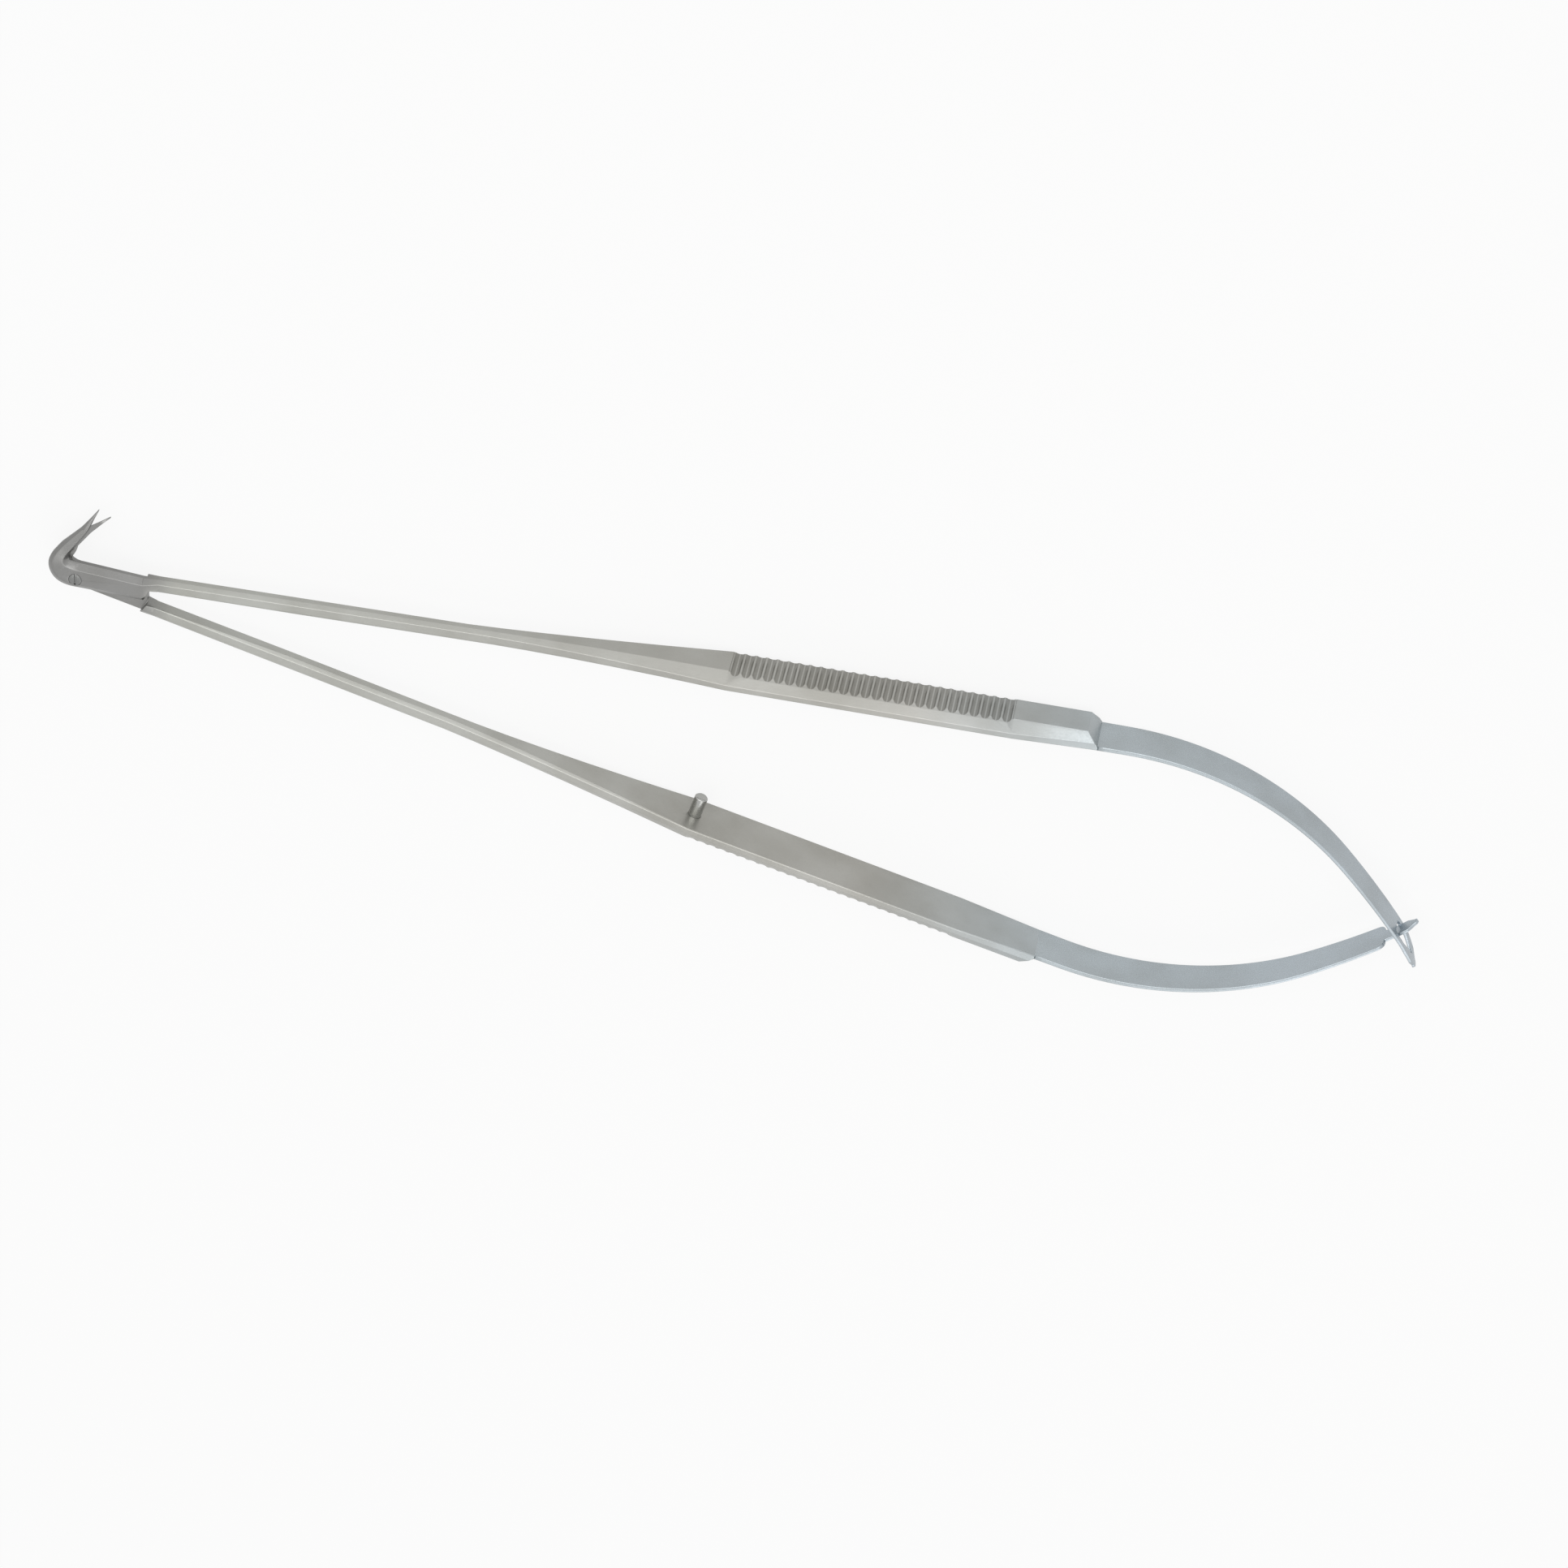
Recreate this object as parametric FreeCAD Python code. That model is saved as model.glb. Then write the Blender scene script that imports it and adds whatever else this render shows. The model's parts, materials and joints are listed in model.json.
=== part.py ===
import FreeCAD, Part
import math
import os

from FreeCAD import Vector

# Spring-handled micro scissors with flat handles and blades bent back at an angle.
# All lengths are in millimetres and all angles in degrees.
# The arms are drawn with the pivot at the origin, the handles along +X and z = 0 between the
# two lapped halves. The upper arm is the one at +Y. At the end the whole is turned end for
# end, so that +X points to the blades, and set down on the edges of its handles.

# Pose
REST_ANGLE = 7.46        # each arm from the middle line, open at rest
ARM_OFFSET = 0.5         # middle of an arm's thickness, outward from the line through the pivot

# Shank and grip sections, across the arm: thickness is along y, width along z
SHANK_THICK = 2.1
SHANK_WIDTH = 2.1
SHANK_CREST = 0.96       # flat on the outer side
SHANK_BEVEL = 0.55       # how far the bevel beside that flat drops
SHANK_SOLE = 1.2         # flat on the inner side
SHANK_EASE = 0.45        # bevel beside the inner flat
GRIP_THICK = 2.5
GRIP_WIDTH = 8.0
GRIP_CREST = 5.0
GRIP_BEVEL = 1.6
END_WIDTH = 6.7          # the same at the rear end of the handle
END_CREST = 5.0
END_BEVEL = 1.3
EDGE_EASE = 0.15         # broken corner along the inner edges and round the rear end

# Lengths along an arm, from the pivot
ROOT_FRONT = 9.6         # the lapped plate becomes the full arm
ROOT_LENGTH = 2.2
TAPER_START = 56.0
TAPER_END = 93.1
TAPER_STATIONS = 8
TAPER_POWER = 1.5        # the widening starts gently and ends straight
ARM_BOW = 0.7            # the taper leads outward by this much
HANDLE_TURN = 0.87       # the handle turns back inwards behind it
ARM_END = 145.6
RUNOUT_LEAD = 12.0       # the handle narrows from this far ahead of the end
END_SLOPE = 1.6          # length of the slope down to the leaf spring

# Grip serrations
GROOVE_COUNT = 26
GROOVE_PITCH = 1.535
GROOVE_RADIUS = 0.66
GROOVE_DEPTH = 0.4
GRIP_SINK = 0.1          # the ground field lies this far below the plain face
FIELD_MARGIN = 0.85      # ground field beyond the first and last groove
FIRST_GROOVE = 94.2

# Lap joint
JOINT_WIDTH = 3.2        # along y
UPPER_SWELL = 0.9        # wider by this much at the inner corner of the bend
LOWER_SWELL = 0.3
PLATE_THICK = 1.5        # each half of the lap, along z
LAP_GAP = 0.01           # from z = 0 to each half
PLATE_FLARE = 0.5        # the plate's inner side runs out by this much towards the root
WALL_X = 10.6            # lap shoulder, measured on the middle line
WALL_SLANT = 20.0
LAP_CLEARANCE = 0.12
CLOSING_GAP = 0.03       # from the middle plane to each shank when closed
BEVEL_INSET = 0.22       # bevel of the plates and blades, as a share of their width
LAND_SHARE = 0.45        # height of the side below the bevel, as a share of the thickness
EDGE_SHARE = 0.12        # the same along a cutting edge

# Blades, in plan with the scissors closed
UPPER_TIP = Vector(2.6, 11.3, 0)
LOWER_TIP = Vector(1.87, 10.95, 0)
TIP_WIDTH = 0.1
TIP_THICK = 0.3
UPPER_SPINE = 54.5       # directions in plan, from +X
UPPER_EDGE = 70.0
LOWER_SPINE = 61.5
LOWER_EDGE = 47.6
BLADE_STEPS = ((2.0, 0.5), (4.0, 0.75))      # distance from the tip, thickness there
ROOT_SIDE = Vector(-2.32, 5.29, 0)           # front side where the blades leave the bend
UPPER_HEEL = Vector(-0.64, 4.3, 0)           # rear side there
LOWER_HEEL = Vector(-1.25, 4.45, 0)
BLADE_ROOT_THICK = 1.1
BEND_CENTRE = Vector(-0.9, 1.69, 0)
BEND_RADIUS = 3.2
BEND_STEPS = (
    (150.0, 1.3, (-1.2, 3.45), (-1.35, 3.1)),    # direction from the bend's centre, thickness,
    (183.0, 1.45, (-1.3, 2.95), (-1.5, 2.5)),    # inner side of the upper half and of the lower
    (217.0, 1.5, (-1.05, 2.7), (-1.3, 2.2)),
    (250.0, 1.5, (-0.4, 2.6), (-0.6, 2.0)),
)
STRAIGHT_START = 0.3                         # the bend runs into the straight joint here

# Pivot screw, held in the lower arm
SCREW_RADIUS = 0.6
HEAD_RADIUS = 0.9
HEAD_HEIGHT = 0.7
RUNNING_CLEARANCE = 0.03
SLOT_WIDTH = 0.28
SLOT_DEPTH = 0.35
SLOT_TURN = 12.0

# Stop pin, pressed into the lower arm
PIN_X = 93.4
PIN_RADIUS = 0.95
PIN_LENGTH = 3.3         # out of the handle
PIN_SEAT = 1.5           # into the handle
PIN_CHAMFER = 0.2

# Leaf springs
LEAF_THICK = 0.68        # at the handle
LEAF_END_THICK = 0.45
LEAF_WIDTH = 6.7         # at the handle
LEAF_CROSS_WIDTH = 5.2   # where the two leaves cross
LEAF_RUN = 4.0           # straight stretch behind the handle
LEAF_BEND_RADIUS = 46.0
LEAF_BEND_END = 38.0     # slope of the leaf after the first bend, towards the middle line
LEAF_CROSS = 44.5        # slope where the leaves cross
LEAF_HOOK_RADIUS = 20.0  # the ends go on turning behind the crossing
LEAF_POINTS = 24
LOOP_LENGTH = 6.5        # upper leaf beyond the crossing
LOOP_SHOULDER = 2.6      # it keeps nearly its width so far
LOOP_SHOULDER_SHARE = 0.95
LOOP_WAIST = 4.7         # narrower again here
LOOP_WAIST_SHARE = 0.7
LOOP_TIP_RADIUS = 0.7
LOOP_RIM = 1.1           # metal beside the slot
SLOT_BEFORE = 0.7        # slot ahead of the crossing
SLOT_AFTER = 4.3
SLOT_TIP_RADIUS = 0.35
SLOT_CORNER = 0.5        # rounding of the slot's front corners
SLOT_STRAIGHT = 1.56     # the slot narrows behind this
TONGUE_WIDTH = 2.3
TONGUE_START = 1.9       # ahead of the crossing
TONGUE_LENGTH = 3.5      # beyond the crossing
TONGUE_TIP_RADIUS = 0.5
TONGUE_NARROWS = 1.8
SHOULDER_RADIUS = 1.1
ROUND_STEPS = 8          # straight stretches in a rounded end or corner

Z_AXIS = Vector(0, 0, 1)
ORIGIN = Vector(0, 0, 0)
REACH = 300.0            # longer than anything that is cut
LOFT_DEGREE = 3


def turned(point, degrees):
    """A point turned about the pivot axis."""
    a = math.radians(degrees)
    return Vector(
        point.x * math.cos(a) - point.y * math.sin(a),
        point.x * math.sin(a) + point.y * math.cos(a),
        point.z,
    )


def heading(degrees):
    """Unit vector in plan."""
    return turned(Vector(1, 0, 0), degrees)


def mix(low, high, share):
    return low + (high - low) * share


def loft(sections, ruled=False):
    """Solid through closed polygons with equally many corners."""
    wires = [Part.makePolygon(points + [points[0]]) for points in sections]
    return Part.makeLoft(wires, True, ruled, False, LOFT_DEGREE)


def prism(points, z_low, z_high):
    """Straight prism over a plan polygon."""
    corners = [Vector(p[0], p[1], z_low) for p in points]
    face = Part.Face(Part.makePolygon(corners + [corners[0]]))
    return face.extrude(Vector(0, 0, z_high - z_low))


def cylinder_z(radius, z_low, z_high):
    return Part.makeCylinder(radius, z_high - z_low, Vector(0, 0, z_low))


GRIP_INNER = ARM_OFFSET - GRIP_THICK / 2
SHANK_OUTER = ARM_OFFSET + SHANK_THICK / 2
HANDLE_FRONT = Vector(TAPER_END, ARM_OFFSET, 0)
OUTWARD = Vector(0, ARM_BOW, 0)
LEAF_START = REST_ANGLE - HANDLE_TURN


def bent_point(point):
    """A point of the straight handle, where the bend of the arm puts it."""
    return turned(point - HANDLE_FRONT, -HANDLE_TURN) + HANDLE_FRONT + OUTWARD


def bent(shape):
    """Moves a shape of the straight handle to where the bend of the arm puts it."""
    shape.rotate(HANDLE_FRONT, Z_AXIS, -HANDLE_TURN)
    shape.translate(OUTWARD)
    return shape


def closed_half_angle():
    """Angle of each arm when the stop pin meets the upper arm's inner face."""
    tip = bent_point(Vector(PIN_X, GRIP_INNER - PIN_LENGTH, 0))
    face = bent_point(Vector(PIN_X, GRIP_INNER, 0)).dot(heading(90 - HANDLE_TURN))
    tip_angle = math.degrees(math.atan2(tip.y, tip.x))
    return (HANDLE_TURN - tip_angle - math.degrees(math.asin(face / tip.Length))) / 2


CLOSED_ANGLE = closed_half_angle()
HALF_SWING = REST_ANGLE - CLOSED_ANGLE


def octagon(x, y_low, y_high, width, crest, bevel, sole, ease):
    """Cross-section of an arm in the plane at x, with the outer side at y_high."""
    half = width / 2
    outline = (
        (crest / 2, y_high),
        (half, y_high - bevel),
        (half, y_low + ease),
        (sole / 2, y_low),
        (-sole / 2, y_low),
        (-half, y_low + ease),
        (-half, y_high - bevel),
        (-crest / 2, y_high),
    )
    return [Vector(x, y, z) for z, y in outline]


def bar_section(x, share):
    """Section of the bar: share 0 is the shank and share 1 the grip."""
    thick = mix(SHANK_THICK, GRIP_THICK, share)
    return octagon(
        x,
        ARM_OFFSET - thick / 2,
        ARM_OFFSET + thick / 2,
        mix(SHANK_WIDTH, GRIP_WIDTH, share),
        mix(SHANK_CREST, GRIP_CREST, share),
        mix(SHANK_BEVEL, GRIP_BEVEL, share),
        mix(SHANK_SOLE, GRIP_WIDTH - 2 * EDGE_EASE, share),
        mix(SHANK_EASE, EDGE_EASE, share),
    )


def end_section(x):
    """Section of the handle's rear end, which is as wide as the leaf spring."""
    sole = END_WIDTH - 2 * EDGE_EASE
    outer = GRIP_INNER + GRIP_THICK
    return octagon(x, GRIP_INNER, outer, END_WIDTH, END_CREST, END_BEVEL, sole, EDGE_EASE)


def plate_sides():
    """Inner and outer side of the joint at its rear end, in an arm's own frame."""
    return -(JOINT_WIDTH / 2 + PLATE_FLARE), SHANK_OUTER


def root_section(x):
    """Full section of the joint where it becomes the shank."""
    y_low, y_high = plate_sides()
    side = 2 * LAND_SHARE * PLATE_THICK
    inset = BEVEL_INSET * (y_high - y_low)
    half = PLATE_THICK
    outline = (
        (side / 2, y_high),
        (half, y_high - inset),
        (half, y_low + inset),
        (side / 2, y_low),
        (-side / 2, y_low),
        (-half, y_low + inset),
        (-half, y_high - inset),
        (-side / 2, y_high),
    )
    return [Vector(x, y, z) for z, y in outline]


def grip_grooves():
    """Cutter for the shallow field of the serrations, and one for the serrations."""
    crest = ARM_OFFSET + GRIP_THICK / 2 - GRIP_SINK
    last = FIRST_GROOVE + (GROOVE_COUNT - 1) * GROOVE_PITCH
    field = Part.makeBox(
        last - FIRST_GROOVE + 2 * FIELD_MARGIN,
        GRIP_THICK,
        2 * GRIP_WIDTH,
        Vector(FIRST_GROOVE - FIELD_MARGIN, crest, -GRIP_WIDTH),
    )
    grooves = []
    for n in range(GROOVE_COUNT):
        axis = Vector(
            FIRST_GROOVE + n * GROOVE_PITCH, crest + GROOVE_RADIUS - GROOVE_DEPTH, -GRIP_WIDTH
        )
        grooves.append(Part.makeCylinder(GROOVE_RADIUS, 2 * GRIP_WIDTH, axis))
    return field, Part.makeCompound(grooves)


def end_slope():
    """Cutter for the slope that brings the handle down to the leaf spring's thickness."""
    top = ARM_OFFSET + GRIP_THICK / 2
    step = GRIP_INNER + LEAF_THICK
    return prism(
        (
            (ARM_END - END_SLOPE, top),
            (ARM_END, step),
            (ARM_END + END_SLOPE, step),
            (ARM_END + END_SLOPE, top + GRIP_THICK),
            (ARM_END - END_SLOPE, top + GRIP_THICK),
        ),
        -GRIP_WIDTH,
        GRIP_WIDTH,
    )


def lap_cutters():
    """What the upper arm leaves free for the lower one, with the scissors closed."""
    slope = math.tan(math.radians(WALL_SLANT))
    run = slope * REACH
    below = prism(
        ((-REACH, -REACH), (WALL_X + run, -REACH), (WALL_X - run, REACH), (-REACH, REACH)),
        -REACH,
        LAP_GAP,
    )
    end = WALL_X - LAP_CLEARANCE
    beside = prism(
        ((end, CLOSING_GAP), (REACH, CLOSING_GAP), (REACH, -REACH), (end - run, -REACH)),
        -REACH,
        REACH,
    )
    return below, beside


def arm_bar():
    """Root, shank and handle of the upper arm, closed, without its blade."""
    shank_start = ROOT_FRONT + ROOT_LENGTH
    root = loft([root_section(ROOT_FRONT), bar_section(shank_start, 0)], True)
    shank = loft([bar_section(shank_start, 0), bar_section(TAPER_START, 0)], True)
    taper_sections = []
    for n in range(TAPER_STATIONS):
        share = n / TAPER_STATIONS
        section = bar_section(mix(TAPER_START, TAPER_END, share), share**TAPER_POWER)
        taper_sections.append([point + OUTWARD * share for point in section])
    taper_sections.append([bent_point(point) for point in bar_section(TAPER_END, 1)])
    taper = loft(taper_sections)
    runout_start = ARM_END - RUNOUT_LEAD
    grip = loft([bar_section(TAPER_END, 1), bar_section(runout_start, 1)], True)
    runout = loft([bar_section(runout_start, 1), end_section(ARM_END)], True)
    field, grooves = grip_grooves()
    handle = grip.fuse(runout).cut(field).cut(grooves).cut(end_slope())
    bar = root.fuse([shank, taper, bent(handle)])
    bar.rotate(ORIGIN, Z_AXIS, CLOSED_ANGLE)
    below, beside = lap_cutters()
    return bar.cut(below).cut(beside)


def blade_section(front, rear, thick, up, front_land, rear_land):
    """Half section that stands on the lap plane between two points in plan."""
    across = rear - front
    inset = across * BEVEL_INSET
    outline = (
        (front, 0),
        (front, front_land * thick),
        (front + inset, thick),
        (rear - inset, thick),
        (rear, rear_land * thick),
        (rear, 0),
    )
    base = Vector(0, 0, up * LAP_GAP)
    scale = up * (1 - LAP_GAP / PLATE_THICK)
    return [base + point + Vector(0, 0, scale * z) for point, z in outline]


def blade_plate(up):
    """Lapped plate with its blade: up is 1 for the upper arm and -1 for the lower."""
    upper = up > 0
    tip = UPPER_TIP if upper else LOWER_TIP
    heel = UPPER_HEEL if upper else LOWER_HEEL
    swell = UPPER_SWELL if upper else LOWER_SWELL
    front_way = heading(UPPER_SPINE if upper else LOWER_EDGE)
    rear_way = heading(UPPER_EDGE if upper else LOWER_SPINE)
    front_land = LAND_SHARE if upper else EDGE_SHARE
    rear_land = EDGE_SHARE if upper else LAND_SHARE
    across = heading((UPPER_SPINE + LOWER_SPINE) / 2 - 90) * (TIP_WIDTH / 2)
    sections = [blade_section(tip - across, tip + across, TIP_THICK, up, front_land, rear_land)]
    for distance, thick in BLADE_STEPS:
        front = tip - front_way * distance
        rear = tip - rear_way * distance
        sections.append(blade_section(front, rear, thick, up, front_land, rear_land))
    sections.append(blade_section(ROOT_SIDE, heel, BLADE_ROOT_THICK, up, LAND_SHARE, LAND_SHARE))
    for angle, thick, upper_inner, lower_inner in BEND_STEPS:
        front = BEND_CENTRE + heading(angle) * BEND_RADIUS
        rear = Vector(*(upper_inner if upper else lower_inner))
        sections.append(blade_section(front, rear, thick, up, LAND_SHARE, LAND_SHARE))
    half = JOINT_WIDTH / 2
    y_low, y_high = plate_sides()
    root_low = turned(Vector(ROOT_FRONT, y_low, 0), CLOSED_ANGLE)
    root_high = turned(Vector(ROOT_FRONT, y_high, 0), CLOSED_ANGLE)
    if not upper:
        root_low, root_high = (
            Vector(root_high.x, -root_high.y, 0),
            Vector(root_low.x, -root_low.y, 0),
        )
    straight = []
    for share in (STRAIGHT_START / ROOT_FRONT, 1.0):
        low = mix(Vector(0, -half, 0), root_low, share)
        high = mix(Vector(0, half + swell, 0), root_high, share)
        straight.append(blade_section(low, high, PLATE_THICK, up, LAND_SHARE, LAND_SHARE))
    sections.append(straight[0])
    root = len(BLADE_STEPS) + 1
    point = loft(sections[: root + 1], True)
    bend = loft(sections[root:])
    return point.fuse([bend, loft(straight, True)])


def screw_slot():
    length = 4 * HEAD_RADIUS
    slot = Part.makeBox(
        SLOT_WIDTH,
        length,
        SLOT_DEPTH,
        Vector(-SLOT_WIDTH / 2, -length / 2, PLATE_THICK - SLOT_DEPTH),
    )
    slot.rotate(ORIGIN, Z_AXIS, SLOT_TURN)
    return slot


def pivot_screw():
    """Slotted screw, flush with both sides of the joint."""
    shaft = cylinder_z(SCREW_RADIUS, -PLATE_THICK, PLATE_THICK)
    head = cylinder_z(HEAD_RADIUS, PLATE_THICK - HEAD_HEIGHT, PLATE_THICK)
    screw = shaft.fuse(head).cut(screw_slot())
    screw.rotate(ORIGIN, Z_AXIS, -HALF_SWING)
    return screw


def upper_arm():
    arm = arm_bar().fuse(blade_plate(1))
    bore = cylinder_z(SCREW_RADIUS + RUNNING_CLEARANCE, -PLATE_THICK, 2 * PLATE_THICK)
    seat = cylinder_z(
        HEAD_RADIUS + RUNNING_CLEARANCE,
        PLATE_THICK - HEAD_HEIGHT - RUNNING_CLEARANCE,
        2 * PLATE_THICK,
    )
    arm = arm.cut(bore).cut(seat).removeSplitter()
    arm.rotate(ORIGIN, Z_AXIS, HALF_SWING)
    return arm


def pin_solid(radius):
    """Pin on the straight handle, standing inwards from the inner face."""
    seat = Vector(PIN_X, GRIP_INNER + PIN_SEAT, 0)
    return Part.makeCylinder(radius, PIN_SEAT + PIN_LENGTH, seat, Vector(0, -1, 0))


def to_lower(shape):
    """Turns a piece of the straight handle into one of the lower arm at rest."""
    bent(shape)
    shape.rotate(ORIGIN, Vector(1, 0, 0), 180)
    shape.rotate(ORIGIN, Z_AXIS, -REST_ANGLE)
    return shape


def stop_pin():
    pin = pin_solid(PIN_RADIUS)
    tip_y = GRIP_INNER - PIN_LENGTH
    tip_edges = [e for e in pin.Edges if e.Closed and abs(e.BoundBox.YMax - tip_y) < PIN_CHAMFER]
    return to_lower(pin.makeChamfer(PIN_CHAMFER, tip_edges))


def lower_arm():
    bar = arm_bar()
    bar.rotate(ORIGIN, Vector(1, 0, 0), 180)
    arm = bar.fuse(blade_plate(-1))
    bore = cylinder_z(SCREW_RADIUS, -2 * PLATE_THICK, PLATE_THICK)
    arm = arm.cut(bore).removeSplitter()
    arm.rotate(ORIGIN, Z_AXIS, -HALF_SWING)
    return arm.cut(to_lower(pin_solid(PIN_RADIUS)))


def leaf_pieces():
    """Stretches of the leaf's inner face: length and how much each turns inwards."""
    start = turned(bent_point(Vector(ARM_END, GRIP_INNER, 0)), REST_ANGLE)
    bend = LEAF_START + LEAF_BEND_END
    rise = LEAF_RUN * math.sin(math.radians(LEAF_START))
    fall = LEAF_BEND_RADIUS * (
        math.cos(math.radians(LEAF_START)) - math.cos(math.radians(LEAF_BEND_END))
    )
    left = start.y + rise - fall
    reach_radius = left / (
        math.cos(math.radians(LEAF_BEND_END)) - math.cos(math.radians(LEAF_CROSS))
    )
    reach = LEAF_CROSS - LEAF_BEND_END
    hook = math.degrees(LOOP_LENGTH / LEAF_HOOK_RADIUS)
    return start, (
        (LEAF_RUN, 0.0),
        (math.radians(bend) * LEAF_BEND_RADIUS, bend),
        (math.radians(reach) * reach_radius, reach),
        (LOOP_LENGTH, hook),
    )


def leaf_point(distance):
    """Point on the leaf's inner face and its direction, at a distance from the handle."""
    point, pieces = leaf_pieces()
    angle = LEAF_START
    for length, turn in pieces:
        part = min(max(distance, 0.0), length)
        distance -= length
        if part <= 0:
            continue
        swept = turn * part / length
        middle = angle - swept / 2
        half = math.radians(swept) / 2
        chord = part * (math.sin(half) / half if half else 1.0)
        point = point + heading(middle) * chord
        angle -= swept
    return point, angle


def leaf_lengths():
    """Distance to the crossing and to the end of the upper leaf's loop."""
    lengths = [length for length, turn in leaf_pieces()[1]]
    return sum(lengths[:3]), sum(lengths)


def leaf_strip():
    """The bent strip of the upper leaf, at full width and with its taper in thickness."""
    total = leaf_lengths()[1]
    inner = []
    outer = []
    for n in range(LEAF_POINTS + 1):
        share = n / LEAF_POINTS
        point, angle = leaf_point(total * share)
        inner.append(point)
        outer.append(point + heading(angle + 90) * mix(LEAF_THICK, LEAF_END_THICK, share))
    half = Vector(0, 0, LEAF_WIDTH / 2)
    curves = []
    for points in (inner, outer):
        curve = Part.BSplineCurve()
        curve.interpolate([p - half for p in points])
        curves.append(curve.toShape())
    ends = [
        Part.makeLine(inner[0] - half, outer[0] - half),
        Part.makeLine(inner[-1] - half, outer[-1] - half),
    ]
    face = Part.Face(Part.Wire(Part.__sortEdges__(curves + ends)))
    return face.extrude(half * 2)


def leaf_blank(outline):
    """Cutter with a leaf's flat outline, square to the leaf where the leaves cross."""
    point, angle = leaf_point(leaf_lengths()[0])
    along = heading(angle)
    normal = heading(angle + 90)
    corners = [point + along * s + Vector(0, 0, z) - normal * REACH / 2 for s, z in outline]
    face = Part.Face(Part.makePolygon(corners + [corners[0]]))
    return face.extrude(normal * REACH)


def arc(centre, radius, start, end):
    """Points along an arc in a leaf's flat outline."""
    points = []
    for n in range(ROUND_STEPS + 1):
        a = math.radians(mix(start, end, n / ROUND_STEPS))
        points.append((centre[0] + radius * math.cos(a), centre[1] + radius * math.sin(a)))
    return points


def closed_outline(side, reach, radius):
    """Outline from its near side, with a half circle at its end and the far side like the near."""
    end = arc((reach - radius, 0), radius, -90, 90)
    return side + end + [(s, -z) for s, z in reversed(side)]


def leaf_half_width(s):
    """Half width of a leaf ahead of the crossing, s being negative there."""
    front = leaf_lengths()[0]
    return mix(LEAF_CROSS_WIDTH, LEAF_WIDTH, -s / front) / 2


def loop_end():
    """Outline of the upper leaf: it narrows behind the crossing to a rounded point."""
    half = LEAF_CROSS_WIDTH / 2
    front = -leaf_lengths()[0] - LEAF_WIDTH
    side = [
        (front, -leaf_half_width(front)),
        (0, -half),
        (LOOP_SHOULDER, -half * LOOP_SHOULDER_SHARE),
        (LOOP_WAIST, -half * LOOP_WAIST_SHARE),
    ]
    return closed_outline(side, LOOP_LENGTH, LOOP_TIP_RADIUS)


def loop_slot():
    """Slot in the upper leaf, narrowing with the loop."""
    half = LEAF_CROSS_WIDTH / 2 - LOOP_RIM
    centre = (SLOT_CORNER - SLOT_BEFORE, SLOT_CORNER - half)
    side = arc(centre, SLOT_CORNER, 180, 270)
    side.append((SLOT_STRAIGHT, -half))
    return closed_outline(side, SLOT_AFTER, SLOT_TIP_RADIUS)


def tongue_end():
    """Outline of the lower leaf: rounded shoulders and a narrow tongue with a rounded tip."""
    half = TONGUE_WIDTH / 2
    front = -leaf_lengths()[0] - LEAF_WIDTH
    full = leaf_half_width(-TONGUE_START)
    centre = (-TONGUE_START - SHOULDER_RADIUS, SHOULDER_RADIUS - full)
    side = [(front, -leaf_half_width(front))]
    side += arc(centre, SHOULDER_RADIUS, -90, 0)
    side.append((-TONGUE_START, -half))
    side.append((TONGUE_NARROWS, -half))
    return closed_outline(side, TONGUE_LENGTH, TONGUE_TIP_RADIUS)


def upper_leaf():
    leaf = leaf_strip().common(leaf_blank(loop_end()))
    return leaf.cut(leaf_blank(loop_slot()))


def lower_leaf():
    leaf = leaf_strip().common(leaf_blank(tongue_end()))
    leaf.rotate(ORIGIN, Vector(1, 0, 0), 180)
    return leaf


def main():
    pieces = {
        "upper_arm": upper_arm(),
        "lower_arm": lower_arm(),
        "pivot_screw": pivot_screw(),
        "stop_pin": stop_pin(),
        "upper_leaf_spring": upper_leaf(),
        "lower_leaf_spring": lower_leaf(),
    }
    for shape in pieces.values():
        shape.rotate(ORIGIN, Z_AXIS, 180)
    box = Part.makeCompound(list(pieces.values())).optimalBoundingBox()
    shift = Vector(-(box.XMin + box.XMax) / 2, -(box.YMin + box.YMax) / 2, -box.ZMin)
    os.makedirs("parts", exist_ok=True)
    for name, shape in pieces.items():
        shape.translate(shift)
        solid = shape.Solids[0] if len(shape.Solids) == 1 else shape
        solid.exportStep(f"parts/{name}.step")
        print(name, len(shape.Solids), shape.isValid(), round(shape.Volume, 2), len(shape.Faces))
    print("pivot at", shift, "closing travel", 2 * HALF_SWING)
    print("size", box.XLength, box.YLength, box.ZLength)


main()
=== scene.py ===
"""Studio scene of spring-handled micro scissors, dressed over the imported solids."""

import json
import logging
import math
from dataclasses import dataclass, replace
from enum import Enum
from functools import cached_property

import bmesh
import bpy
from mathutils import Matrix, Vector


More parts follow.
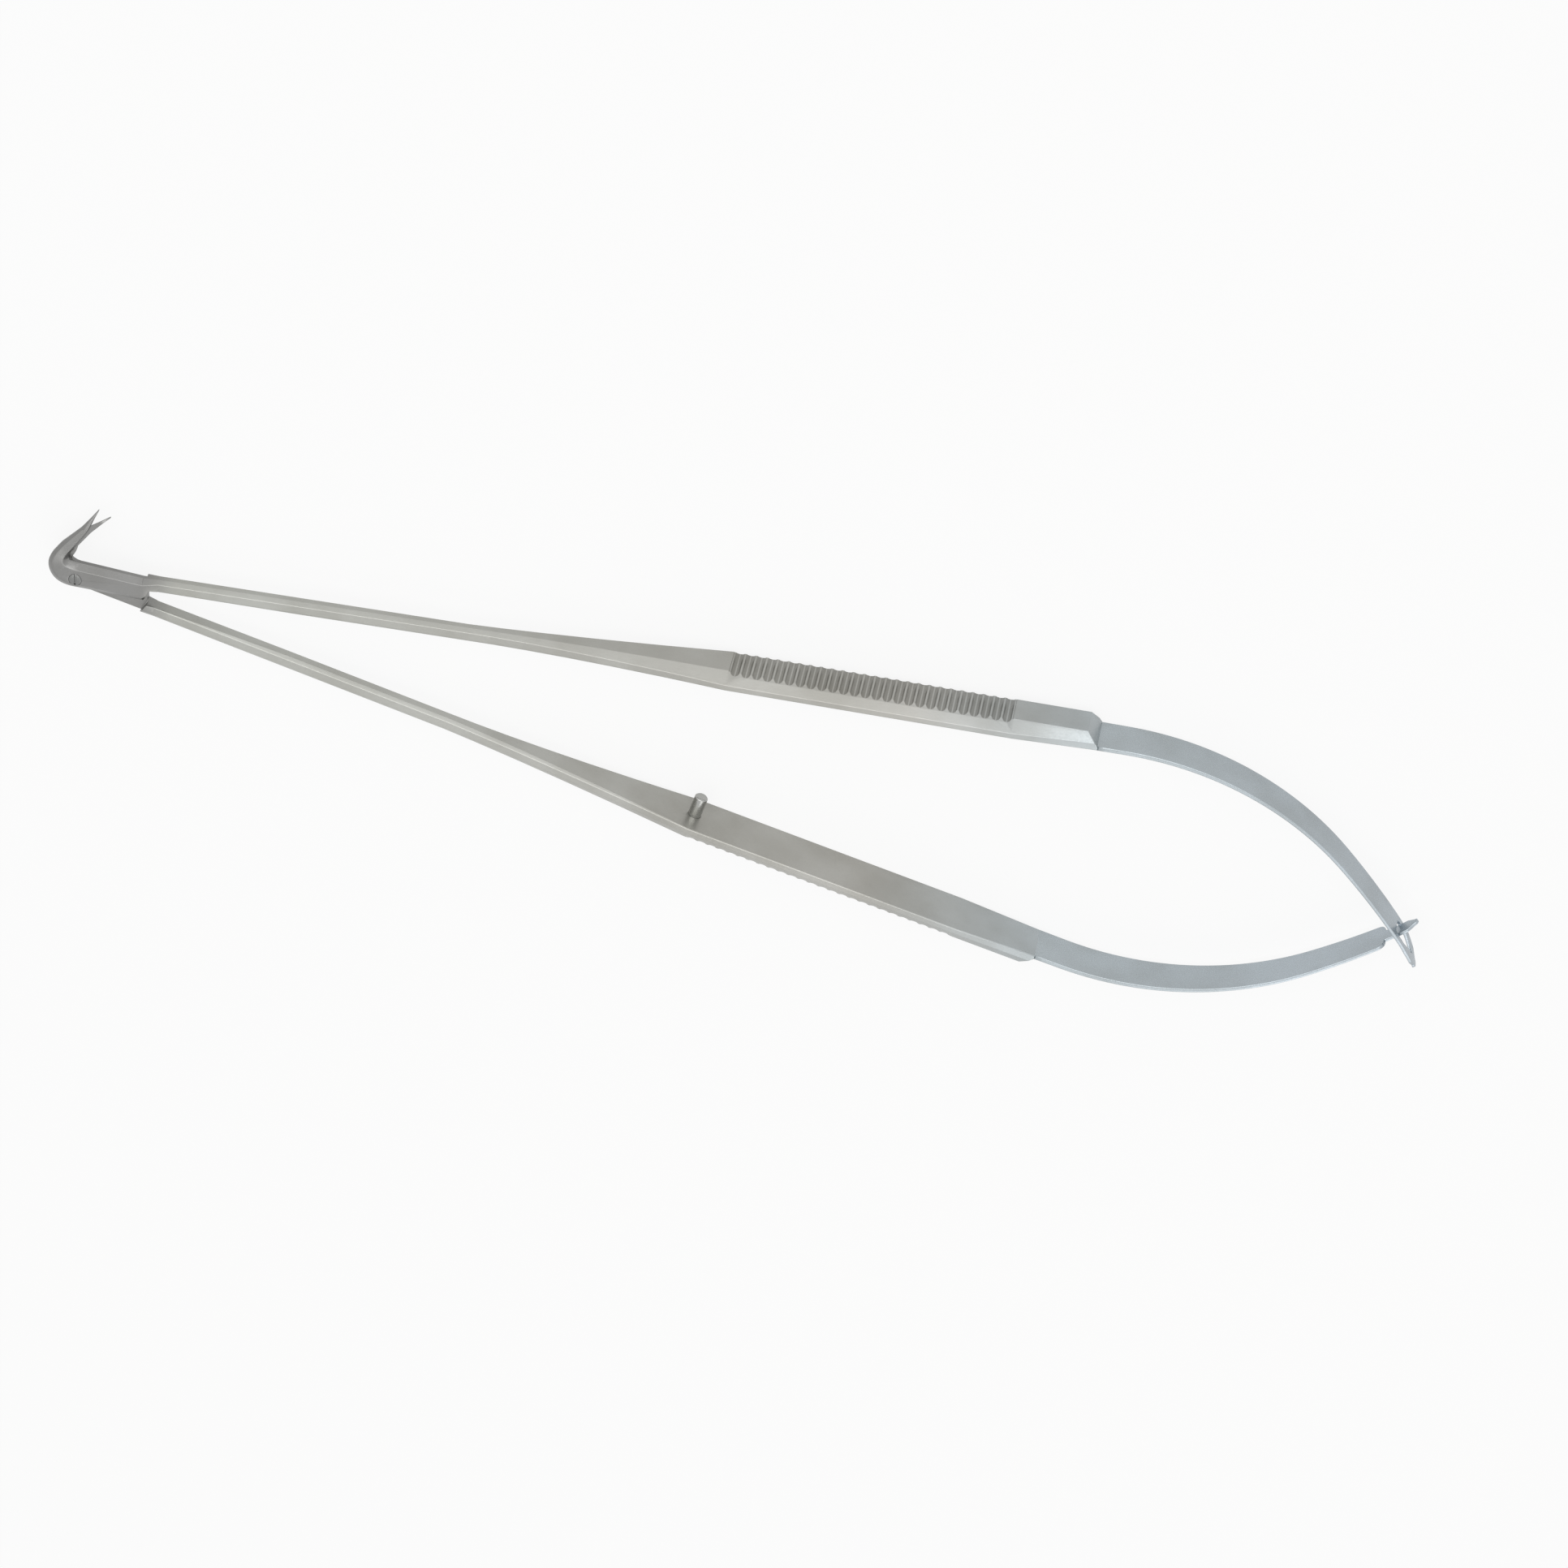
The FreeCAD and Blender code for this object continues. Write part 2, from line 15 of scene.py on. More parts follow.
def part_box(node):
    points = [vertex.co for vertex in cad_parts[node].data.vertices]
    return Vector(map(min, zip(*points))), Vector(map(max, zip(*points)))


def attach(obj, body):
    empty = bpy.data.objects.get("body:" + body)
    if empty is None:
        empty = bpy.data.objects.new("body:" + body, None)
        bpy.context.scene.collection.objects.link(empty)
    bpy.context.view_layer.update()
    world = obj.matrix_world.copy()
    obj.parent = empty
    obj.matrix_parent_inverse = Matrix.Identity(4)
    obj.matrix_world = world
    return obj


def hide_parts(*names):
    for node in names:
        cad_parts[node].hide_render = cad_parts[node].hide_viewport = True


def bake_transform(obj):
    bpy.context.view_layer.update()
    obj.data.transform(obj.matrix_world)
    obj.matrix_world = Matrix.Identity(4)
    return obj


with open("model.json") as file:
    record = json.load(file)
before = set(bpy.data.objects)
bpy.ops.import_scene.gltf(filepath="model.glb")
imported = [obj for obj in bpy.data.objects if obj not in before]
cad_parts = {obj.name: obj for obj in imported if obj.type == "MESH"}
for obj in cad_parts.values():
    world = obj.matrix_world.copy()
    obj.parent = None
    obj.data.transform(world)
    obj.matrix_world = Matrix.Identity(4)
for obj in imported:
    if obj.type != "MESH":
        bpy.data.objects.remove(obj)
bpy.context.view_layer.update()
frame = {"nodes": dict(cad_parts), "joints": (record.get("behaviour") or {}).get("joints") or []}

LOG = logging.getLogger("micro_scissors")
MM = 0.001
UPPER_BODY = "upper_arm_body"
LOWER_BODY = "lower_arm_body"
# Face attribute that marks the groove walls which get painted shade.
GROOVE_SHADE_MARK = "groove"
WHITE = (1.0, 1.0, 1.0, 1.0)

# The curve between an sRGB value and the light it stands for.
SRGB_KNEE = 0.04045
SRGB_SLOPE = 12.92
SRGB_OFFSET = 0.055
SRGB_POWER = 2.4


def linear(hex_colour: str) -> tuple[float, float, float, float]:
    """Turn an sRGB hex colour into linear RGBA.

    Args:
        hex_colour: Six hex digits after a hash sign.

    Returns:
        The colour as the shader reads it, with full alpha.
    """
    channels = []
    for byte in bytes.fromhex(hex_colour[1:]):
        value = byte / 255
        if value <= SRGB_KNEE:
            channels.append(value / SRGB_SLOPE)
        else:
            channels.append(((value + SRGB_OFFSET) / (1 + SRGB_OFFSET)) ** SRGB_POWER)
    red, green, blue = channels
    return red, green, blue, 1.0


def add_node(
    tree: bpy.types.NodeTree,
    kind: str,
    links: dict[str, bpy.types.NodeSocket] | None = None,
    **settings: object,
) -> bpy.types.Node:
    """Add a node with its settings and links.

    Args:
        tree: The node tree that takes the node.
        kind: Blender's name for the type of node.
        links: For each linked input, by name or number, the output it reads.
        settings: Properties of the node, or values of its inputs with spaces as underscores.

    Returns:
        The new node.
    """
    node = tree.nodes.new(kind)
    for name, value in settings.items():
        if hasattr(node, name):
            setattr(node, name, value)
        else:
            node.inputs[name.replace("_", " ")].default_value = value
    for name, output in (links or {}).items():
        socket = node.inputs[int(name)] if name.isdigit() else node.inputs[name]
        tree.links.new(output, socket)
    return node


class Lay(Enum):
    """Direction of the fine marks that the last finishing step leaves."""

    EVEN = "no direction"
    TURNED = "rings round the piece's axis"


@dataclass(frozen=True)
class SteelFinish:
    """A finish of stainless instrument steel.

    Attributes:
        title: Name of the material.
        zones: Colour of the metal at places along X, in metres, from low to high.
        tint: Colour that the slow mottling multiplies in.
        roughness: Roughness of the plain metal.
        grain_mm: Size of the finest marks, drawn coarser than real ones so that they show.
        depth_mm: Depth of those marks.
        lay: Direction of those marks.
        turn_deg: Turn of the pattern about the vertical.
        axis_at: Where the pattern is centred, which is on the axis of turned marks, in metres.
        groove_painted_shade: Painted shade that multiplies in on faces marked as a groove's
            walls, or none.
    """

    title: str
    zones: tuple[tuple[float, str], ...]
    tint: str
    roughness: float
    grain_mm: float
    depth_mm: float
    lay: Lay = Lay.EVEN
    turn_deg: float = 0.0
    axis_at: tuple[float, float, float] = (0.0, 0.0, 0.0)
    groove_painted_shade: str | None = None

    # The slow mottling, and the values of its noise between which the tint comes in.
    MOTTLE_MM = 9.0
    MOTTLE_DETAIL = 3.0
    MOTTLE_RANGE = (0.35, 0.68)
    # The fine marks, and the values of their height between which the roughness changes.
    GRAIN_DETAIL = 4.0
    GRAIN_RANGE = (0.3, 0.7)
    ROUGHNESS_SPREAD = 0.07
    # Radians of the wave in one unit of its coordinate, as the wave texture counts them.
    WAVE_RADIANS = 20.0
    RING_WOBBLE = 0.4
    RING_DETAIL = 1.0

    def material(self) -> bpy.types.Material:
        """Build the material: mottled metal, with a roughness and a bump from its marks.

        Returns:
            The material.
        """
        material = bpy.data.materials.new(self.title)
        material.use_nodes = True
        tree = material.node_tree
        tree.nodes.clear()
        place = self._place(tree)
        marks = self._marks(tree, place)
        gloss = add_node(
            tree,
            "ShaderNodeMapRange",
            {"Value": marks},
            From_Min=self.GRAIN_RANGE[0],
            From_Max=self.GRAIN_RANGE[1],
            To_Min=self.roughness - self.ROUGHNESS_SPREAD,
            To_Max=self.roughness + self.ROUGHNESS_SPREAD,
        )
        bump = add_node(
            tree,
            "ShaderNodeBump",
            {"Height": marks},
            Distance=self.depth_mm * MM,
            Strength=1.0,
        )
        shader = add_node(
            tree,
            "ShaderNodeBsdfPrincipled",
            {
                "Base Color": self._colour(tree, place),
                "Roughness": gloss.outputs["Result"],
                "Normal": bump.outputs["Normal"],
            },
            Metallic=1.0,
        )
        add_node(tree, "ShaderNodeOutputMaterial", {"Surface": shader.outputs["BSDF"]})
        return material

    def _colour(
        self, tree: bpy.types.NodeTree, place: bpy.types.NodeSocket
    ) -> bpy.types.NodeSocket:
        """Colour of the metal with its slow mottling, and painted shade on the walls of the
        grooves.

        Args:
            tree: The node tree that takes the nodes.
            place: Output that holds the place on the piece.

        Returns:
            The output that holds the colour.
        """
        mottle = add_node(
            tree,
            "ShaderNodeTexNoise",
            {"Vector": place},
            Scale=1 / (self.MOTTLE_MM * MM),
            Detail=self.MOTTLE_DETAIL,
        )
        drift = add_node(
            tree,
            "ShaderNodeMapRange",
            {"Value": mottle.outputs["Fac"]},
            From_Min=self.MOTTLE_RANGE[0],
            From_Max=self.MOTTLE_RANGE[1],
        )
        colour = self._tinted(tree, self._zone_colour(tree), drift.outputs["Result"], self.tint)
        # Painted shade: the faces marked as groove walls are darkened.
        if self.groove_painted_shade:
            groove = add_node(tree, "ShaderNodeAttribute", attribute_name=GROOVE_SHADE_MARK)
            colour = self._tinted(tree, colour, groove.outputs["Fac"], self.groove_painted_shade)
        return colour

    def _tinted(
        self,
        tree: bpy.types.NodeTree,
        steel: bpy.types.NodeSocket,
        share: bpy.types.NodeSocket,
        tint: str,
    ) -> bpy.types.NodeSocket:
        """Multiply a tint into a colour.

        Args:
            tree: The node tree that takes the node.
            steel: Output that holds the colour.
            share: Output that holds how much of the tint comes in.
            tint: The tint.

        Returns:
            The output that holds the tinted colour.
        """
        colour = tree.nodes.new("ShaderNodeMix")
        colour.data_type = "RGBA"
        colour.blend_type = "MULTIPLY"
        factor, first, second = (socket for socket in colour.inputs if socket.enabled)
        tree.links.new(share, factor)
        tree.links.new(steel, first)
        second.default_value = linear(tint)
        return next(socket for socket in colour.outputs if socket.enabled)

    def _zone_colour(self, tree: bpy.types.NodeTree) -> bpy.types.NodeSocket:
        """Colour that runs through the zones along X.

        Args:
            tree: The node tree that takes the nodes.

        Returns:
            The output that holds the colour.
        """
        low = self.zones[0][0]
        high = self.zones[-1][0]
        where = add_node(tree, "ShaderNodeTexCoord")
        apart = add_node(tree, "ShaderNodeSeparateXYZ", {"Vector": where.outputs["Object"]})
        along = add_node(
            tree,
            "ShaderNodeMapRange",
            {"Value": apart.outputs["X"]},
            From_Min=low,
            From_Max=high,
        )
        ramp = add_node(tree, "ShaderNodeValToRGB", {"Fac": along.outputs["Result"]})
        stops = ramp.color_ramp.elements
        # New stops begin in the middle and are then moved to their places.
        while len(stops) < len(self.zones):
            stops.new(0.5)
        for stop, (x, colour) in zip(stops, self.zones):
            stop.position = (x - low) / (high - low)
            stop.color = linear(colour)
        return ramp.outputs["Color"]

    def _place(self, tree: bpy.types.NodeTree) -> bpy.types.NodeSocket:
        """Object coordinates, centred and turned to the piece.

        Args:
            tree: The node tree that takes the nodes.

        Returns:
            The output that holds the place.
        """
        where = add_node(tree, "ShaderNodeTexCoord")
        centred = add_node(
            tree,
            "ShaderNodeMapping",
            {"Vector": where.outputs["Object"]},
            Location=tuple(-value for value in self.axis_at),
        )
        turned = add_node(
            tree,
            "ShaderNodeMapping",
            {"Vector": centred.outputs["Vector"]},
            Rotation=(0.0, 0.0, math.radians(-self.turn_deg)),
        )
        return turned.outputs["Vector"]

    def _marks(
        self, tree: bpy.types.NodeTree, place: bpy.types.NodeSocket
    ) -> bpy.types.NodeSocket:
        """Height of the fine marks, in the direction that the finish has.

        Args:
            tree: The node tree that takes the nodes.
            place: Output that holds the place on the piece.

        Returns:
            The output that holds the height.
        """
        scale = 1 / (self.grain_mm * MM)
        if self.lay is Lay.TURNED:
            rings = add_node(
                tree,
                "ShaderNodeTexWave",
                {"Vector": place},
                wave_type="BANDS",
                bands_direction="Y",
                Scale=scale * math.tau / self.WAVE_RADIANS,
                Distortion=self.RING_WOBBLE,
                Detail=self.RING_DETAIL,
            )
            return rings.outputs["Fac"]
        grain = add_node(
            tree, "ShaderNodeTexNoise", {"Vector": place}, Scale=scale, Detail=self.GRAIN_DETAIL
        )
        return grain.outputs["Fac"]


@dataclass
class SteelPiece:
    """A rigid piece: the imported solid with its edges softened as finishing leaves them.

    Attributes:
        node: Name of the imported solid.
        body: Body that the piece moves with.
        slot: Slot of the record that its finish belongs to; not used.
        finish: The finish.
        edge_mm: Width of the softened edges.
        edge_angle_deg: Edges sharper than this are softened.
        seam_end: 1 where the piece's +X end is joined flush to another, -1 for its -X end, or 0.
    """

    node: str
    body: str
    slot: str
    finish: SteelFinish
    edge_mm: float = 0.07
    edge_angle_deg: float = 24.0
    seam_end: int = 0

    # Points closer than this are one, and faces that turn by less than the angle are one.
    MERGE_MM = 0.0005
    FLAT_ANGLE_DEG = 0.3
    # Edges this close to a flush end belong to it.
    SEAM_DEPTH_MM = 0.15
    EDGE_SEGMENTS = 2
    ROUND_PROFILE = 0.5
    # Faces with more corners than this are cut into triangles.
    MOST_CORNERS = 4
    # Edges sharper than this are creases in the shading.
    SMOOTH_ANGLE_DEG = 38.0
    BROAD_WEIGHT = 90

    @cached_property
    def seam(self) -> tuple[float, float]:
        """Stretch of X that holds the end joined flush, which is empty where no end is.

        Returns:
            Where the stretch starts and stops, in metres.
        """
        low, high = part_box(self.node)
        depth = self.SEAM_DEPTH_MM * MM
        if self.seam_end > 0:
            return high[0] - depth, high[0] + depth
        if self.seam_end < 0:
            return low[0] - depth, low[0] + depth
        return math.inf, -math.inf

    def copy_solid(self) -> bmesh.types.BMesh:
        """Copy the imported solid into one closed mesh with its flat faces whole.

        Returns:
            The copy.
        """
        mesh = bmesh.new()
        mesh.from_mesh(frame["nodes"][self.node].data)
        bmesh.ops.remove_doubles(mesh, verts=mesh.verts, dist=self.MERGE_MM * MM)
        bmesh.ops.dissolve_limit(
            mesh,
            angle_limit=math.radians(self.FLAT_ANGLE_DEG),
            verts=mesh.verts,
            edges=mesh.edges,
            use_dissolve_boundaries=False,
        )
        return mesh

    def stays_sharp(self, edge: bmesh.types.BMEdge) -> bool:
        """Tell whether an edge belongs to the end that is joined flush."""
        start, stop = self.seam
        return all(start < vert.co.x < stop for vert in edge.verts)

    def soften(self, mesh: bmesh.types.BMesh) -> None:
        """Bevel the edges sharper than the edge angle, apart from those that stay sharp.

        Args:
            mesh: The mesh, which is changed.
        """
        limit = math.radians(self.edge_angle_deg)
        sharp = [
            edge
            for edge in mesh.edges
            if edge.is_manifold
            and edge.calc_face_angle(0.0) > limit
            and not self.stays_sharp(edge)
        ]
        bmesh.ops.bevel(
            mesh,
            geom=sharp,
            offset=self.edge_mm * MM,
            offset_type="OFFSET",
            segments=self.EDGE_SEGMENTS,
            profile=self.ROUND_PROFILE,
            affect="EDGES",
            clamp_overlap=False,
            material=-1,
        )

    def shape(self) -> bmesh.types.BMesh:
        """Make the finished mesh.

        Returns:
            The mesh.
        """
        mesh = self.copy_solid()
        self.soften(mesh)
        return mesh

    def dress(self, mesh: bmesh.types.BMesh) -> bpy.types.Object:
        """Turn the mesh into a shaded object.

        Args:
            mesh: The finished mesh, which is freed.

        Returns:
            The object, linked to the scene, with its finish.
        """
        many_sided = [face for face in mesh.faces if len(face.verts) > self.MOST_CORNERS]
        bmesh.ops.triangulate(mesh, faces=many_sided)
        data = bpy.data.meshes.new(f"{self.node}_dressed")
        mesh.to_mesh(data)
        mesh.free()
        data.shade_smooth()
        data.set_sharp_from_angle(angle=math.radians(self.SMOOTH_ANGLE_DEG))
        data.materials.append(self.finish.material())
        piece = bpy.data.objects.new(f"{self.node}_dressed", data)
        bpy.context.scene.collection.objects.link(piece)
        # The broad faces set the shading at the softened edges, so that they look flat.
        weighted = piece.modifiers.new("broad faces lead", "WEIGHTED_NORMAL")
        weighted.keep_sharp = True
        weighted.weight = self.BROAD_WEIGHT
        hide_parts(self.node)
        return piece

    def attach(self, piece: bpy.types.Object) -> None:
        """Let the piece move with its body."""
        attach(piece, self.body)

    def build(self) -> bpy.types.Object:
        """Build, dress and attach the piece.

        Returns:
            The finished piece.
        """
        piece = self.dress(self.shape())
        self.attach(piece)
        return piece


@dataclass
class Arm(SteelPiece):
    """An arm, whose grooves across the handle get painted shade on their walls.

    Attributes:
        handle_turn_deg: Direction of the handle in the plane of the scissors.
        grooves_from: Where the grooves begin, in metres along X.
        grooves_to: Where they end.
    """

    edge_mm: float = 0.045
    handle_turn_deg: float = 0.0
    grooves_from: float = -0.041
    grooves_to: float = 0.006

    # Share of a face's normal along the handle from which it is a groove's wall.
    WALL_LEAN = 0.15
    # The blade's point lies beyond this X and Y, in metres.
    POINT_X = 0.09
    POINT_Y = -0.0095

    def stays_sharp(self, edge: bmesh.types.BMEdge) -> bool:
        """Tell whether an edge touches the blade's point or belongs to the flush end.

        Args:
            edge: An edge of the arm.

        Returns:
            True where the edge isn't softened.
        """
        at_point = any(
            vert.co.x > self.POINT_X and vert.co.y < self.POINT_Y for vert in edge.verts
        )
        return at_point or super().stays_sharp(edge)

    def mark_groove_shade(self, mesh: bmesh.types.BMesh) -> None:
        """Mark the faces that lean along the handle where the grooves are, for painted shade.

        Args:
            mesh: The mesh, whose faces get the mark.
        """
        turn = math.radians(self.handle_turn_deg)
        along = Vector((math.cos(turn), math.sin(turn), 0.0))
        mark = mesh.faces.layers.float.new(GROOVE_SHADE_MARK)
        mesh.normal_update()
        for face in mesh.faces:
            inside = self.grooves_from < face.calc_center_median().x < self.grooves_to
            face[mark] = float(inside and abs(face.normal.dot(along)) > self.WALL_LEAN)

    def shape(self) -> bmesh.types.BMesh:
        """Make the finished mesh with its grooves marked for painted shade.

        Returns:
            The mesh.
        """
        mesh = super().shape()
        self.mark_groove_shade(mesh)
        return mesh


@dataclass
class LeafSpring(SteelPiece):
    """A leaf spring, which bends as the handles close.

    It follows its own arm at its root and is half way between the two arms where the leaves
    The tongue of the one leaf stays in the slot of the other. The leaf is placed as imported and
    is not bent here.

    Attributes:
        other_body: Body of the other arm; not used.
        root_x: Where the leaf leaves its handle, in metres; not used.
        crossing_x: Where the two leaves cross, in metres; not used.
        station_mm: Distance between the cross-sections that the leaf bends at.
    """

    other_body: str = LOWER_BODY
    root_x: float = -0.0475
    crossing_x: float = -0.0965
    station_mm: float = 1.2

    def divide(self, mesh: bmesh.types.BMesh) -> None:
        """Cut the leaf into short stretches, so that it can bend.

        Args:
            mesh: The mesh, which is changed.
        """
        low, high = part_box(self.node)
        count = int((high[0] - low[0]) / (self.station_mm * MM))
        for n in range(1, count):
            cut_x = low[0] + (high[0] - low[0]) * n / count
            bmesh.ops.bisect_plane(
                mesh,
                geom=list(mesh.verts) + list(mesh.edges) + list(mesh.faces),
                plane_co=(cut_x, 0.0, 0.0),
                plane_no=(1.0, 0.0, 0.0),
            )

    def shape(self) -> bmesh.types.BMesh:
        """Make the finished mesh in short stretches.

        Returns:
            The mesh.
        """
        mesh = super().shape()
        self.divide(mesh)
        return mesh

    def attach(self, piece: bpy.types.Object) -> None:
        """Bake the leaf's placement into its mesh; it is not attached to either arm.

        Args:
            piece: The dressed leaf.
        """
        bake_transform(piece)


@dataclass
class Scissors:
    """The scissors: two arms, the screw and the pin, and the two leaves.

    Attributes:
        half_angle_deg: Angle of each arm from the middle line at rest.
        handle_angle_deg: The same for the handles, which turn in a little.
    """

    half_angle_deg: float = 7.46
    handle_angle_deg: float = 6.59

    # Warm grey in the middle and cooler towards the leaves; darker at the joint and blades,
    # which is painted shade.
    ARM_TONES_AND_SHADE = (
        (-0.052, "#b7bfc3"),
        (-0.022, "#b6b5b0"),
        (0.082, "#b9bab5"),
        (0.0865, "#979796"),
        (0.103, "#8d8d8c"),
    )
    LEAF_ZONES = ((-0.101, "#b7c0c7"), (-0.047, "#b7bfc3"))
    SCREW_ZONES = ((-0.1, "#8f908e"), (0.1, "#8b8c8b"))
    PIN_ZONES = ((-0.1, "#bcbdbb"), (0.1, "#bbbcba"))
    TINT = "#eeedeb"
    # Painted shade multiplied into the walls of the grooves across the handles.
    GROOVE_PAINTED_SHADE = "#d6d5d3"
    SCREW_EDGE_MM = 0.04
    PIN_EDGE_MM = 0.05

    def arms(self) -> list[SteelPiece]:
        """List the two arms with their finish.

        Returns:
            The upper and the lower arm.
        """
        # Glass-bead blasted steel: a soft, even sheen with a fine tooth and no mirror images.
        # Real blasting is finer than this grain, which is drawn coarser so that it shows.
        upper_satin = SteelFinish(
            "blasted steel, upper arm",
            self.ARM_TONES_AND_SHADE,
            self.TINT,
            roughness=0.36,
            grain_mm=0.24,
            depth_mm=0.007,
            turn_deg=self.half_angle_deg,
            groove_painted_shade=self.GROOVE_PAINTED_SHADE,
        )
        lower_satin = replace(
            upper_satin, title="blasted steel, lower arm", turn_deg=-self.half_angle_deg
        )
        upper = Arm(
            "upper_arm",
            UPPER_BODY,
            "arm_steel",
            upper_satin,
            seam_end=-1,
            handle_turn_deg=self.handle_angle_deg,
        )
        lower = Arm(
            "lower_arm",
            LOWER_BODY,
            "arm_steel",
            lower_satin,
            seam_end=-1,
            handle_turn_deg=-self.handle_angle_deg,
        )
        return [upper, lower]

    def fasteners(self) -> list[SteelPiece]:
        """List the screw and the stop pin with their finishes.

        Returns:
            The screw and the pin.
        """
        pin_low, pin_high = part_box("stop_pin")
        pin_middle = tuple((low + high) / 2 for low, high in zip(pin_low, pin_high))
        # Turned steel, blasted with the arms once fitted: dull and dark, with a fine even tooth.
        screw = SteelFinish(
            "turned steel, screw",
            self.SCREW_ZONES,
            self.TINT,
            roughness=0.3,
            grain_mm=0.12,
            depth_mm=0.002,
            axis_at=tuple(frame["joints"][0]["pos_m"]),
        )
        # Turned rod: fine rings round the axis, and a clear streak of light along it.
        pin = SteelFinish(
            "turned steel, pin",
            self.PIN_ZONES,
            self.TINT,
            roughness=0.22,
            grain_mm=0.25,
            depth_mm=0.0004,
            lay=Lay.TURNED,
            turn_deg=self.handle_angle_deg,
            axis_at=pin_middle,
        )
        return [
            SteelPiece("pivot_screw", LOWER_BODY, "screw_steel", screw, self.SCREW_EDGE_MM),
            SteelPiece("stop_pin", LOWER_BODY, "pin_steel", pin, self.PIN_EDGE_MM),
        ]

    def leaves(self) -> list[SteelPiece]:
        """List the two leaf springs with their finish.

        Returns:
            The upper and the lower leaf.
        """
        # Cold-rolled spring steel: smoother, cooler and a little brighter than the arms.
        upper_rolled = SteelFinish(
            "rolled steel, upper leaf",
            self.LEAF_ZONES,
            self.TINT,
            roughness=0.31,
            grain_mm=0.2,
            depth_mm=0.006,
        )
        lower_rolled = replace(upper_rolled, title="rolled steel, lower leaf")
        upper = LeafSpring(
            "upper_leaf_spring",
            UPPER_BODY,
            "spring_steel",
            upper_rolled,
            seam_end=1,
            other_body=LOWER_BODY,
        )
        lower = LeafSpring(
            "lower_leaf_spring",
            LOWER_BODY,
            "spring_steel",
            lower_rolled,
            seam_end=1,
            other_body=UPPER_BODY,
        )
        return [upper, lower]

    def build(self) -> None:
        """Build every piece and report it."""
        for part in self.arms() + self.fasteners() + self.leaves():
            piece = part.build()
            LOG.info("%s: %d faces", piece.name, len(piece.data.polygons))


@dataclass(frozen=True)
class SoftLamp:
    """A square soft lamp.

    Attributes:
        title: Name of the lamp.
        place: Where it hangs, in metres.
        size: Side of the lamp, in metres.
        power: Power in watts.
    """

    title: str
    place: tuple[float, float, float]
    size: float
    power: float

    def hang(self, aim: Vector) -> None:
        """Hang the lamp so that it faces a point.

        Args:
            aim: The point, in metres.
        """
        data = bpy.data.lights.new(self.title, "AREA")
        data.shape = "SQUARE"
        data.size = self.size
        data.energy = self.power
        place = Vector(self.place)
        turn = (place - aim).to_track_quat("Z", "Y").to_matrix().to_4x4()
        lamp = bpy.data.objects.new(self.title, data)
        lamp.matrix_world = Matrix.Translation(place) @ turn
        bpy.context.scene.collection.objects.link(lamp)


